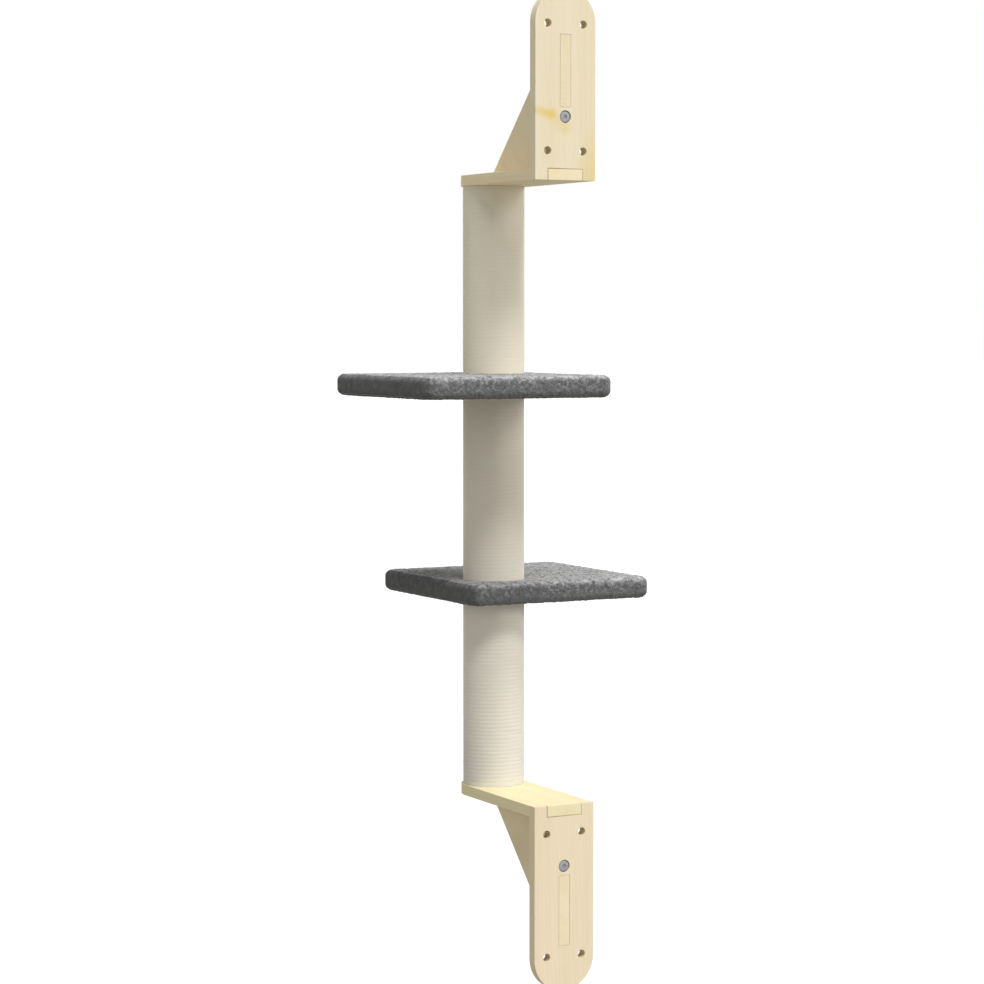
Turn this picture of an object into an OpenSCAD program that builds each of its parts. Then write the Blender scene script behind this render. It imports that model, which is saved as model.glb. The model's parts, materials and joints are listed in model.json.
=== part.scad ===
// Wall mounted cat tree: two pine brackets, a rope-wound post in three lengths, two plush platforms.
// The origin is the centre of the lower wall plate's screw holes, on the face that meets the wall.
// +X runs along the wall, the wall lies at Y = 0 with the room on the -Y side, and +Z is up.

/* [Wall plate] */
// Width of the wall plate, the arm board and their round ends
board_w = 85; // [75:1:120]
// Thickness of the wall plate
plate_t = 14; // [12:0.5:24]
// Bore of the holes for the wall screws
screw_hole_d = 10; // [5:0.5:12]
// Spacing of the screw holes across the plate
screw_spacing_x = 50; // [40:1:56]
// Spacing of the screw holes along the plate
screw_spacing_z = 156; // [120:1:165]
// Distance of the inner screw holes from the plate's square end
screw_row_inset = 36; // [30:1:45]
// Distance of the outer screw holes from the tip of the plate's round end
screw_end_margin = 44; // [36:1:80]

/* [Arm board] */
// Thickness of the arm board
arm_t = 14; // [12:0.5:24]
// Distance of the post's centre line from the wall
post_reach = 190; // [185:1:230]
// Width of the tenon that passes through the wall plate
arm_tenon_w = 49; // [30:1:60]

/* [Gusset] */
// Thickness of the gusset
gusset_t = 15; // [13:0.5:24]
// Gap between the gusset's thin end and the post bolt's head
gusset_end_gap = 4; // [1:0.5:40]
// Distance of the gusset's tenon from the gusset bolt's centre line
gusset_tenon_offset = 12; // [10:0.5:30]
// Length of the gusset's tenon along the wall plate
gusset_tenon_l = 89; // [40:1:95]
// Shoulder of the gusset past the end of its tenon
gusset_shoulder = 2; // [0.5:0.5:5]
// Blunt height of the gusset's thin end
gusset_tip_h = 2; // [1:0.5:6]
// Depth of the groove that takes the gusset's edge in the arm board
groove_depth = 4; // [2:0.5:6]
// Gap all round where one board fits into another
joint_gap = 0.2; // [0.1:0.05:0.4]

/* [Gusset bolt] */
// Distance of the gusset bolt from the arm board's post side
gusset_bolt_drop = 78; // [70:1:84]
// Thread diameter of the gusset bolt
gusset_bolt_d = 8; // [6:1:8]
// Length of the gusset bolt under its head
gusset_bolt_l = 46; // [40:1:60]
// Diameter of the bolt's round head
bolt_head_d = 14.4; // [12:0.1:15]
// Height of the bolt's round head
bolt_head_h = 4.4; // [3:0.1:5]
// Gap round the bolt's head in its counterbore
head_gap = 0.6; // [0.5:0.1:2]
// Depth of the bolt head's top below the plate's wall side
head_sink = 0.8; // [0.5:0.1:3]
// Key size of the hexagon socket in every bolt head
hex_key = 5; // [4:0.5:6]
// Depth of the hexagon socket in every bolt head
hex_depth = 2.6; // [2:0.1:3]
// Diameter of the cross dowel in the gusset
dowel_d = 13; // [12:0.5:15]
// Length of the cross dowel
dowel_l = 12; // [10:0.5:12.5]
// Distance of the cross dowel from the wall plate's room side
dowel_inset = 26; // [20:1:30]

/* [Post] */
// Height of each length of post
post_h = 243; // [200:1:400]
// Outside diameter of the cardboard tube
tube_d = 70; // [60:1:90]
// Thickness of the rope winding on the tube
rope_t = 5; // [4:0.5:8]
// Wall of the cardboard tube
tube_wall = 3; // [2:0.5:5]
// Thickness of the wooden caps in the tube's ends
cap_t = 20; // [18:1:30]
// Gap between cap and tube
cap_gap = 0.15; // [0.1:0.05:0.3]
// Gap between the rope and the tube inside it, and between the rope and the post's ends
rope_gap = 0.15; // [0.1:0.05:0.4]
// Loops of rope wound on each length of post
rope_loops = 24; // [8:1:24]
// Height of the flat outer side of one loop
rope_crown_h = 5; // [2:0.5:6]
// Gap between one loop of rope and the next
loop_gap = 0.5; // [0.45:0.05:1.5]

/* [Threads] */
// Thread diameter of the post bolts and the platform studs
thread_d = 8; // [6:1:8]
// Radial gap of a thread in its nut or insert
thread_gap = 0.05; // [0.02:0.01:0.1]
// Radial gap round a bolt where it passes through a hole
bolt_gap = 0.3; // [0.2:0.05:0.6]
// Outside diameter of the threaded insert
insert_d = 12; // [10:0.5:13]
// Diameter of the threaded insert's rim
insert_rim_d = 17; // [15:0.5:20]
// Thickness of the threaded insert's rim
insert_rim_t = 1.4; // [1:0.1:2]
// Length of the threaded insert
insert_l = 15; // [12:0.5:17]
// Radial gap round a threaded insert and a cross dowel
insert_gap = 0.1; // [0.05:0.05:0.2]
// Diameter of the post bolt's countersunk head
sunk_head_d = 16; // [14:0.5:18]
// Height of the post bolt's countersunk head
sunk_head_h = 4.2; // [3.5:0.1:5]
// How far a bolt or stud reaches into the threaded insert
thread_reach = 13; // [10:0.5:14]

/* [Platform] */
// Side of the square platform, over its plush
platform_side = 265; // [235:1:320]
// Thickness of the platform, over its plush
platform_t = 25; // [22:0.5:35]
// Radius of the platform's corners, seen from above
platform_corner_r = 14; // [12:0.5:30]
// Radius of the platform's upper and lower edges
platform_edge_r = 7; // [4:0.5:9]
// Thickness of the plush cover
cover_t = 3.5; // [2:0.5:5]
// Gap between the plush cover and the board inside it
cover_gap = 0.2; // [0.1:0.05:0.4]
// Distance of the post's centre line from the platform's near side, along the wall
platform_inset_x = 72; // [45:1:90]
// Gap between the upper platform and the wall
platform_wall_gap = 2; // [1:0.5:30]

/* [Hidden] */

// Colours as they show
pine = [0.93, 0.87, 0.72];
rope_cream = [0.88, 0.85, 0.77];
card_brown = [0.76, 0.66, 0.50];
plush_grey = [0.33, 0.33, 0.34];
chipboard_tan = [0.78, 0.68, 0.50];
steel_grey = [0.66, 0.67, 0.69];
brass_yellow = [0.80, 0.70, 0.42];

// Overrun of every cut past the face that it opens
cut = 1;
// Room past the end of a bolt in a blind hole
bolt_end_room = 1;
// Facets of round shapes that stay true circles
round_fn = 96;
// Facets of the platform's swept corners
corner_fn = 32;

// Height of the wall plate, over its round end
plate_h = screw_row_inset + screw_spacing_z + screw_end_margin;
// Reach of the gusset along the arm board, from the wall
gusset_reach = post_reach - sunk_head_d / 2 - gusset_end_gap;
// Start and end of the gusset's tenon, and the gusset's own end, from the arm board's post side
gusset_tenon_start = gusset_bolt_drop + gusset_tenon_offset;
gusset_tenon_end = gusset_tenon_start + gusset_tenon_l;
gusset_drop = gusset_tenon_end + gusset_shoulder;
// Counterbore for the gusset bolt's head, and the holes that the bolts pass through
counterbore_d = bolt_head_d + 2 * head_gap;
counterbore_depth = bolt_head_h + head_sink;
gusset_hole_d = gusset_bolt_d + 2 * bolt_gap;
clear_hole_d = thread_d + 2 * bolt_gap;
// Outside diameter of the post over the rope
post_d = tube_d + 2 * rope_t;
// Distance of the post's centre line from the platform's near side, away from the wall
platform_inset_y = platform_side + platform_wall_gap - post_reach;

// Heights of the stack, from the origin at the centre of the lower plate's holes
lower_face_z = screw_row_inset + screw_spacing_z / 2;
lower_platform_z = lower_face_z + post_h;
middle_post_z = lower_platform_z + platform_t;
upper_platform_z = middle_post_z + post_h;
upper_post_z = upper_platform_z + platform_t;
upper_face_z = upper_post_z + post_h;

// A bracket is drawn with the arm board's post side at height zero, and the wall plate below it
module at_lower_bracket() {
    translate([0, 0, lower_face_z]) children();
}

module at_upper_bracket() {
    translate([0, 0, upper_face_z]) mirror([0, 0, 1]) children();
}

// A cylinder that runs from the wall side into the room, its near end at depth y
module room_cylinder(d, l, y = 0) {
    translate([0, -y, 0]) rotate([90, 0, 0]) cylinder(h = l, d = d, $fn = round_fn);
}

// Board outline with one square end at zero and one round end, width along X, length along -Y
module round_ended_outline(length) {
    arch_r = board_w / 2;
    translate([-arch_r, -(length - arch_r)]) square([board_w, length - arch_r]);
    translate([0, -(length - arch_r)]) circle(r = arch_r, $fn = round_fn);
}

// Wall plate: open notch for the arm's tenon, slot for the gusset's tenon, screw and bolt holes
module wall_plate_shape() {
    difference() {
        rotate([90, 0, 0]) linear_extrude(plate_t) round_ended_outline(plate_h);
        notch_w = arm_tenon_w + 2 * joint_gap;
        translate([-notch_w / 2, -plate_t - cut, -arm_t - joint_gap])
            cube([notch_w, plate_t + 2 * cut, arm_t + joint_gap + cut]);
        slot_w = gusset_t + 2 * joint_gap;
        translate([-slot_w / 2, -plate_t - cut, -gusset_tenon_end - joint_gap])
            cube([slot_w, plate_t + 2 * cut, gusset_tenon_end - gusset_tenon_start + 2 * joint_gap]);
        for (x = [-1, 1], z = [screw_row_inset, screw_row_inset + screw_spacing_z])
            translate([x * screw_spacing_x / 2, cut, -z]) room_cylinder(screw_hole_d, plate_t + 2 * cut);
        translate([0, cut, -gusset_bolt_drop]) {
            room_cylinder(counterbore_d, counterbore_depth + cut);
            room_cylinder(gusset_hole_d, plate_t + 2 * cut);
        }
    }
}

// Arm board: tenon through the wall plate, round end over the post, countersunk hole, blind groove
module arm_board_shape() {
    arm_l = post_reach + board_w / 2 - plate_t;
    groove_l = gusset_reach - gusset_tip_h - plate_t;
    difference() {
        union() {
            translate([0, -plate_t, -arm_t]) linear_extrude(arm_t) round_ended_outline(arm_l);
            translate([-arm_tenon_w / 2, -plate_t - cut, -arm_t]) cube([arm_tenon_w, plate_t + cut, arm_t]);
        }
        groove_w = gusset_t + 2 * joint_gap;
        translate([-groove_w / 2, -plate_t - groove_l - joint_gap, -arm_t - cut])
            cube([groove_w, groove_l + joint_gap, groove_depth + cut]);
        translate([0, -post_reach, -arm_t - cut]) {
            cylinder(h = arm_t + 2 * cut, d = clear_hole_d, $fn = round_fn);
            sunk_seat();
        }
    }
}

// The countersink, wider than the bolt's head by the joint gap all round
module sunk_seat() {
    rim_r = sunk_head_d / 2 + joint_gap;
    rotate_extrude($fn = round_fn) polygon([
        [0, 0], [rim_r, 0], [rim_r, cut + joint_gap],
        [clear_hole_d / 2, cut + sunk_head_h + joint_gap], [0, cut + sunk_head_h + joint_gap]]);
}

// Gusset: triangle with a tongue in the arm's groove, a tenon in the plate and holes for the bolt
module gusset_shape() {
    tongue = groove_depth - joint_gap;
    bolt_hole_l = counterbore_depth + gusset_bolt_l + bolt_end_room - plate_t;
    difference() {
        mirror([0, 1, 0]) rotate([0, -90, 0]) translate([0, 0, -gusset_t / 2])
            linear_extrude(gusset_t) polygon([
                [-gusset_tenon_start, 0], [-gusset_tenon_end, 0],
                [-gusset_tenon_end, plate_t], [-gusset_drop, plate_t],
                [-arm_t - gusset_tip_h, gusset_reach], [-arm_t, gusset_reach],
                [-arm_t, gusset_reach - gusset_tip_h], [-arm_t + tongue, gusset_reach - gusset_tip_h],
                [-arm_t + tongue, plate_t], [-gusset_tenon_start, plate_t]]);
        translate([0, 0, -gusset_bolt_drop]) {
            room_cylinder(gusset_hole_d, bolt_hole_l + cut, plate_t - cut);
            translate([-gusset_t / 2 - cut, -plate_t - dowel_inset, 0]) rotate([0, 90, 0])
                cylinder(h = gusset_t + 2 * cut, d = dowel_d + 2 * insert_gap, $fn = round_fn);
        }
    }
}

// Hexagon socket, sunk from height zero down
module hex_socket() {
    translate([0, 0, -hex_depth]) cylinder(h = hex_depth + cut, d = hex_key / cos(30), $fn = 6);
}

// Round-headed bolt, from the counterbore's floor to past the cross dowel
module gusset_bolt_shape() {
    dome_h = bolt_head_h / 4;
    translate([0, -counterbore_depth, -gusset_bolt_drop]) rotate([-90, 0, 0]) {
        translate([0, 0, -gusset_bolt_l])
            cylinder(h = gusset_bolt_l + dome_h, d = gusset_bolt_d, $fn = round_fn);
        difference() {
            rotate_extrude($fn = round_fn) polygon([
                [0, 0], [bolt_head_d / 2, 0], [bolt_head_d / 2, bolt_head_h - dome_h],
                [bolt_head_d / 2 - dome_h, bolt_head_h], [0, bolt_head_h]]);
            translate([0, 0, bolt_head_h]) hex_socket();
        }
    }
}

// Cross dowel: a short cylinder across the gusset, with the bolt's thread through it
module cross_dowel_shape() {
    thread_bore_d = gusset_bolt_d + 2 * thread_gap;
    translate([0, -plate_t - dowel_inset, -gusset_bolt_drop]) difference() {
        rotate([0, 90, 0]) cylinder(h = dowel_l, d = dowel_d, center = true, $fn = round_fn);
        rotate([90, 0, 0])
            cylinder(h = dowel_d + 2 * cut, d = thread_bore_d, center = true, $fn = round_fn);
    }
}

// Countersunk bolt, flush with the arm board's outer side, up into the post's cap
module post_bolt_shape() {
    translate([0, -post_reach, -arm_t]) difference() {
        union() {
            rotate_extrude($fn = round_fn) polygon([
                [0, 0], [sunk_head_d / 2, 0], [thread_d / 2, sunk_head_h], [0, sunk_head_h]]);
            cylinder(h = arm_t + thread_reach, d = thread_d, $fn = round_fn);
        }
        mirror([0, 0, 1]) hex_socket();
    }
}

module on_post_axis(z) {
    translate([0, -post_reach, z]) children();
}

// Cardboard tube of one length of post
module post_tube(z) {
    color(card_brown) on_post_axis(z) difference() {
        cylinder(h = post_h, d = tube_d, $fn = round_fn);
        translate([0, 0, -cut]) cylinder(h = post_h + 2 * cut, d = tube_d - 2 * tube_wall, $fn = round_fn);
    }
}

// Wooden cap with a stepped bore for the threaded insert, its outer side at height zero
module end_cap_shape() {
    difference() {
        cylinder(h = cap_t, d = tube_d - 2 * tube_wall - 2 * cap_gap, $fn = round_fn);
        translate([0, 0, -cut]) {
            cylinder(h = cap_t + 2 * cut, d = insert_d + 2 * insert_gap, $fn = round_fn);
            cylinder(h = cut + insert_rim_t + insert_gap, d = insert_rim_d + 2 * insert_gap, $fn = round_fn);
        }
    }
}

// Threaded insert, its rim flush with the cap's outer side
module insert_shape() {
    difference() {
        union() {
            cylinder(h = insert_l, d = insert_d, $fn = round_fn);
            cylinder(h = insert_rim_t, d = insert_rim_d, $fn = round_fn);
        }
        translate([0, 0, -cut])
            cylinder(h = insert_l + 2 * cut, d = thread_d + 2 * thread_gap, $fn = round_fn);
    }
}

module at_post_bottom(z) {
    on_post_axis(z) children();
}

module at_post_top(z) {
    on_post_axis(z + post_h) mirror([0, 0, 1]) children();
}

// Rope winding: one tube of four sides, each of its loops in fifteen rings
rope_rings = 15;
rope_sides = 4;
// Climb of one loop, and the height of the tube that fills it but for the gap
rope_pitch = (post_h - 2 * rope_gap + loop_gap) / (rope_loops + 1);
rope_h = rope_pitch - loop_gap;
// Flats between the rings stay clear of the tube inside
rope_inner_r = (tube_d / 2 + rope_gap) / cos(180 / rope_rings);
rope_outer_r = post_d / 2;
// The ends run straight for one rope thickness
rope_end_l = rope_outer_r - rope_inner_r;

// Four corners of the rope's section, as radius and height
rope_section = [
    [rope_inner_r, -rope_h / 2], [rope_outer_r, -rope_crown_h / 2],
    [rope_outer_r, rope_crown_h / 2], [rope_inner_r, rope_h / 2]];

// One corner of the section at turn t, drawn out by l along the tangent
function rope_point(corner, t, l) =
    let (a = 360 * t, z = rope_gap + rope_h / 2 + rope_pitch * t)
    [corner[0] * cos(a) - l * sin(a), corner[0] * sin(a) + l * cos(a), z + corner[1]];

rope_last = rope_loops * rope_rings;
rope_points = concat(
    [for (c = rope_section) rope_point(c, 0, -rope_end_l)],
    [for (i = [0 : rope_last], c = rope_section) rope_point(c, i / rope_rings, 0)],
    [for (c = rope_section) rope_point(c, rope_loops, rope_end_l)]);
rope_ring_count = rope_last + 3;

// Least distance between the points of a loop and those of the loop above it
rope_least_gap = min([
    for (i = [1 : rope_ring_count - 2 - rope_rings], j = [i + rope_rings - 1 : i + rope_rings])
        for (a = [0 : rope_sides - 1], b = [0 : rope_sides - 1])
            norm(rope_points[i * rope_sides + a] - rope_points[j * rope_sides + b])]);
echo(rope_least_gap = rope_least_gap);

rope_faces = concat(
    [[for (k = [0 : rope_sides - 1]) k]],
    [for (i = [0 : rope_ring_count - 2], k = [0 : rope_sides - 1])
        let (n = (k + 1) % rope_sides, p = i * rope_sides, q = p + rope_sides)
        [p + k, q + k, p + n]],
    [for (i = [0 : rope_ring_count - 2], k = [0 : rope_sides - 1])
        let (n = (k + 1) % rope_sides, p = i * rope_sides, q = p + rope_sides)
        [q + k, q + n, p + n]],
    [[for (k = [rope_sides - 1 : -1 : 0]) (rope_ring_count - 1) * rope_sides + k]]);

module post_rope(z) {
    color(rope_cream) on_post_axis(z) polyhedron(points = rope_points, faces = rope_faces);
}

// Square slab with round corners, its post hole at the origin and its body towards +X and +Y
module platform_corners(inset) {
    near_x = -platform_inset_x + inset;
    near_y = -platform_inset_y + inset;
    side = platform_side - 2 * inset;
    r = platform_corner_r - inset;
    for (x = [near_x + r, near_x + side - r], y = [near_y + r, near_y + side - r])
        translate([x, y, 0]) children();
}

module board_slab(inset) {
    linear_extrude(platform_t - 2 * inset) hull() platform_corners(inset)
        circle(r = platform_corner_r - inset, $fn = corner_fn);
}

// Round disc with a rounded rim, for the cover's corners
module cover_corner() {
    core_r = platform_corner_r - platform_edge_r;
    rotate_extrude($fn = corner_fn) {
        square([core_r, platform_t]);
        intersection() {
            for (z = [platform_edge_r, platform_t - platform_edge_r])
                translate([core_r, z]) circle(r = platform_edge_r, $fn = corner_fn);
            square([platform_corner_r, platform_t]);
        }
    }
}

// Board inside a platform, with the stud's hole
module platform_board_shape() {
    color(chipboard_tan) difference() {
        translate([0, 0, cover_t]) board_slab(cover_t);
        translate([0, 0, -cut]) cylinder(h = platform_t + 2 * cut, d = clear_hole_d, $fn = round_fn);
    }
}

// Plush cover, sewn round the board on all sides, with the stud's hole
module platform_cover_shape() {
    pocket = cover_t - cover_gap;
    color(plush_grey) difference() {
        hull() platform_corners(0) cover_corner();
        translate([0, 0, pocket]) board_slab(pocket);
        translate([0, 0, -cut]) cylinder(h = platform_t + 2 * cut, d = clear_hole_d, $fn = round_fn);
    }
}

// Stud with two threaded ends, through a platform into the posts above and below
module platform_stud(z) {
    color(steel_grey) on_post_axis(z - thread_reach)
        cylinder(h = platform_t + 2 * thread_reach, d = thread_d, $fn = round_fn);
}

// The lower platform is the same piece as the upper one, turned half a turn about the post
module at_upper_platform() {
    on_post_axis(upper_platform_z) children();
}

module at_lower_platform() {
    on_post_axis(lower_platform_z) rotate([0, 0, 180]) children();
}

module wall_plate() {
    color(pine) wall_plate_shape();
}

module arm_board() {
    color(pine) arm_board_shape();
}

module gusset() {
    color(pine) gusset_shape();
}

module gusset_bolt() {
    color(steel_grey) gusset_bolt_shape();
}

module cross_dowel() {
    color(steel_grey) cross_dowel_shape();
}

module post_bolt() {
    color(steel_grey) post_bolt_shape();
}

module end_cap() {
    color(chipboard_tan) end_cap_shape();
}

module threaded_inserts() {
    for (z = [lower_face_z, middle_post_z, upper_post_z]) color(brass_yellow) {
        at_post_bottom(z) insert_shape();
        at_post_top(z) insert_shape();
    }
}

at_lower_bracket() wall_plate();  // lower_wall_plate
at_lower_bracket() arm_board();  // lower_arm_board
at_lower_bracket() gusset();  // lower_gusset
at_lower_bracket() gusset_bolt();  // lower_gusset_bolt
at_lower_bracket() cross_dowel();  // lower_cross_dowel
at_lower_bracket() post_bolt();  // lower_post_bolt
at_upper_bracket() wall_plate();  // upper_wall_plate
at_upper_bracket() arm_board();  // upper_arm_board
at_upper_bracket() gusset();  // upper_gusset
at_upper_bracket() gusset_bolt();  // upper_gusset_bolt
at_upper_bracket() cross_dowel();  // upper_cross_dowel
at_upper_bracket() post_bolt();  // upper_post_bolt
post_tube(lower_face_z);  // lower_post_tube
post_tube(middle_post_z);  // middle_post_tube
post_tube(upper_post_z);  // upper_post_tube
post_rope(lower_face_z);  // lower_post_rope
post_rope(middle_post_z);  // middle_post_rope
post_rope(upper_post_z);  // upper_post_rope
at_post_bottom(lower_face_z) end_cap();  // lower_post_bottom_cap
at_post_top(lower_face_z) end_cap();  // lower_post_top_cap
at_post_bottom(middle_post_z) end_cap();  // middle_post_bottom_cap
at_post_top(middle_post_z) end_cap();  // middle_post_top_cap
at_post_bottom(upper_post_z) end_cap();  // upper_post_bottom_cap
at_post_top(upper_post_z) end_cap();  // upper_post_top_cap
threaded_inserts();
at_lower_platform() platform_board_shape();  // lower_platform_board
at_lower_platform() platform_cover_shape();  // lower_platform_cover
platform_stud(lower_platform_z);  // lower_platform_stud
at_upper_platform() platform_board_shape();  // upper_platform_board
at_upper_platform() platform_cover_shape();  // upper_platform_cover
platform_stud(upper_platform_z);  // upper_platform_stud
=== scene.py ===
# %% [markdown]
# # A wall mounted cat tree
# Two pine brackets hold a post wound with cream rope, and two plush platforms are clamped between
# its lengths. The construction comes ready made as a frame of solids in metres, and this lesson
# dresses it: it eases the edges of the boards, winds the rope, grows the pile and mixes the
# finishes. Nothing of the frame moves, so every piece lies where the construction says.

# %% Load the frame
import itertools
import json
import math

import bmesh
import bpy
import numpy as np
from mathutils import Matrix, Vector

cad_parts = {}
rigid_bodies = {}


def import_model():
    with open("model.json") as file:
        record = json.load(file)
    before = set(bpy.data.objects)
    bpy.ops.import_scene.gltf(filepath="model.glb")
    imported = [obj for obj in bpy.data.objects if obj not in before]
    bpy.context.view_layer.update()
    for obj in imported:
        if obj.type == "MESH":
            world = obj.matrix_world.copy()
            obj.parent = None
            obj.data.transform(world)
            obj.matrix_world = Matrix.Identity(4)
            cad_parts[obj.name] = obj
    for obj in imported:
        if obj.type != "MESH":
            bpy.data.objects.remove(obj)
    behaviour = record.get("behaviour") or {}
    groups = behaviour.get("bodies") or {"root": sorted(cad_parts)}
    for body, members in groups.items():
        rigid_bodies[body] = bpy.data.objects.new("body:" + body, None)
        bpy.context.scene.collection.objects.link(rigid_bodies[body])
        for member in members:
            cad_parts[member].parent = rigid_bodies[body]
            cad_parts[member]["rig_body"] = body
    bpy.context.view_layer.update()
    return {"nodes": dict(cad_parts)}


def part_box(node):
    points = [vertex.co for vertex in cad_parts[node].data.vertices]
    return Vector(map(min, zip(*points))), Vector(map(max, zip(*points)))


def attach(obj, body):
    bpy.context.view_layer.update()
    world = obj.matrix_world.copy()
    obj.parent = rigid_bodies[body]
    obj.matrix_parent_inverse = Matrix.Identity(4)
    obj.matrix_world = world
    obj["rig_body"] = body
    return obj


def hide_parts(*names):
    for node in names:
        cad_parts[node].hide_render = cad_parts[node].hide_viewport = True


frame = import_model()
nodes = frame["nodes"]

# %% [markdown]
# ## The camera
# The photograph looks at the tree from behind its wall: the faces that meet the wall show. A long
# lens stands well back and a little higher than the middle, so the view tips slightly down. The
# camera looks along its own -Z, so its back is aimed away from the tree.

# %% The camera
PHOTO_SIDE = 984
FOCAL_PIXELS = 2767.7
SENSOR_WIDTH = 36
FAR_CLIP = 100
CAMERA_PLACE = Vector((1.68446, 3.00024, 0.72260))
CAMERA_AZIMUTH = math.radians(152.20)
CAMERA_PITCH = math.radians(3.59)


def away(azimuth, elevation):
    """The direction from the object to an eye at this azimuth and elevation."""
    level = math.cos(elevation)
    return Vector((math.sin(azimuth) * level, -math.cos(azimuth) * level, math.sin(elevation)))


def link(obj):
    bpy.context.scene.collection.objects.link(obj)
    return obj


camera = link(bpy.data.objects.new("camera", bpy.data.cameras.new("camera")))
camera.data.sensor_width = SENSOR_WIDTH
camera.data.lens = SENSOR_WIDTH * FOCAL_PIXELS / PHOTO_SIDE
camera.data.clip_end = FAR_CLIP
camera.location = CAMERA_PLACE
camera.rotation_euler = away(CAMERA_AZIMUTH, CAMERA_PITCH).to_track_quat("Z", "Y").to_euler()
bpy.context.scene.camera = camera
print("lens:", round(camera.data.lens, 2), "mm")

# %% [markdown]
# ## Shader maths as plain sums
# A material is a graph of nodes, and building one node by node is hard to read. Here a small class
# wraps an output of a node, and its operators add Math nodes, so a pattern reads as a formula.


# %% Values
class Value:
    """An output of a shader node. Sums with it add Math nodes to the recipe that it belongs to."""

    def __init__(self, recipe, socket):
        self.recipe, self.socket = recipe, socket

    def math(self, operation, *others):
        inputs = dict(enumerate([self, *others]))
        return self.recipe.node("Math", {"operation": operation}, inputs)

    def __add__(self, other):
        return self.math("ADD", other)

    def __sub__(self, other):
        return self.math("SUBTRACT", other)

    def __mul__(self, other):
        return self.math("MULTIPLY", other)

    def __truediv__(self, other):
        return self.math("DIVIDE", other)

    def __pow__(self, other):
        return self.math("POWER", other)

    def __rsub__(self, other):
        return self.recipe.node("Math", {"operation": "SUBTRACT"}, {0: other, 1: self})

    __radd__, __rmul__ = __add__, __mul__


# %% [markdown]
# ## Recipes of nodes
# Every other node comes from one method that takes its type, its settings and its inputs. The
# settings are set first, because some of them change which inputs a node shows. The methods after
# it are short names for the nodes that these finishes use most, and the last one is the shader.


# %% Recipes
class Recipe:
    """A node tree and the method that adds any node to it."""

    def __init__(self, owner):
        owner.use_nodes = True
        self.owner, self.tree = owner, owner.node_tree
        self.tree.nodes.clear()

    def node(self, kind, settings=(), inputs=(), out=0):
        made = self.tree.nodes.new("ShaderNode" + kind)
        for name, setting in dict(settings).items():
            setattr(made, name, setting)
        for key, value in dict(inputs).items():
            if isinstance(value, Value):
                self.tree.links.new(value.socket, made.inputs[key])
            else:
                made.inputs[key].default_value = value
        return Value(self, made.outputs[out]) if made.outputs else None

    def vector(self, operation, a, b, out=0):
        return self.node("VectorMath", {"operation": operation}, {0: a, 1: b}, out)

    def split(self, vector):
        """The three parts of a vector."""
        first = self.node("SeparateXYZ", {}, {0: vector})
        return [Value(self, socket) for socket in first.socket.node.outputs]

    def smooth(self, value, low, high):
        """0 up to low, 1 from high on, and an even S between them."""
        inputs = {"Value": value, "From Min": low, "From Max": high}
        return self.node("MapRange", {"interpolation_type": "SMOOTHSTEP"}, inputs)

    def mix(self, share, a, b, blend="MIX"):
        """Colour a going over to colour b."""
        settings = {"data_type": "RGBA", "blend_type": blend}
        return self.node("Mix", settings, {0: share, 6: a, 7: b}, 2)

    def noise(self, place, scale, detail=2.0, roughness=0.5):
        inputs = {"Vector": place, "Scale": scale, "Detail": detail, "Roughness": roughness}
        return self.node("TexNoise", {}, inputs)

    def bump(self, height, distance, strength=1.0):
        inputs = {"Height": height, "Distance": distance, "Strength": strength}
        return self.node("Bump", {}, inputs)

    def surface(self, inputs, sockets=()):
        """The closing shader of a material. The sockets take numbers that are the same all over."""
        shader = self.node("BsdfPrincipled", {}, {**dict(inputs), **dict(sockets)})
        self.node("OutputMaterial", {}, {"Surface": shader})
        return self.owner


def recipe_for(name):
    return Recipe(bpy.data.materials.new(name))


# %% [markdown]
# ## Sky and floor
# The photograph has no room: the tree stands before pure white. A white backdrop could be lit
# until it clips, but that light would bleach the pine as well. So the background is white only to
# the rays that show it, which the Is Camera Ray trick tells apart, and grey to the light that it
# throws back.

# %% Sky and floor
SKY_LEVEL = 0.02
FLOOR_HEIGHT = -0.55
FLOOR_REACH = 60.0
FLOOR_GREY = (0.340, 0.335, 0.308, 1)
FLOOR_PALE = (0.6, 0.6, 0.6, 1)
FLOOR_GLOW = 0.5
WHITE = (1, 1, 1, 1)


def seen_directly(recipe):
    """1 for rays that show the background: the camera's, a mirror's and those through glass."""
    path = recipe.node("LightPath").socket.node.outputs
    seen = Value(recipe, path["Is Camera Ray"])
    for kind in ("Is Glossy Ray", "Is Transmission Ray"):
        seen = seen.math("MAXIMUM", Value(recipe, path[kind]))
    return seen


def set_sky():
    recipe = Recipe(bpy.data.worlds.new("sky"))
    light = recipe.node("Background", {}, {"Color": WHITE, "Strength": SKY_LEVEL})
    white = recipe.node("Background", {}, {"Color": WHITE, "Strength": 1.0})
    both = recipe.node("MixShader", {}, {0: seen_directly(recipe), 1: light, 2: white})
    recipe.node("OutputWorld", {}, {"Surface": both})
    bpy.context.scene.world = recipe.owner


def floor_finish():
    """Grey to the light that it throws back, white to the eye, with the shadow kept."""
    recipe = recipe_for("floor")
    grey = recipe.node("BsdfDiffuse", {}, {"Color": FLOOR_GREY})
    pale = recipe.node("BsdfDiffuse", {}, {"Color": FLOOR_PALE})
    glow = recipe.node("Emission", {}, {"Color": WHITE, "Strength": FLOOR_GLOW})
    white = recipe.node("AddShader", {}, {0: pale, 1: glow})
    both = recipe.node("MixShader", {}, {0: seen_directly(recipe), 1: grey, 2: white})
    recipe.node("OutputMaterial", {}, {"Surface": both})
    return recipe.owner


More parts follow.
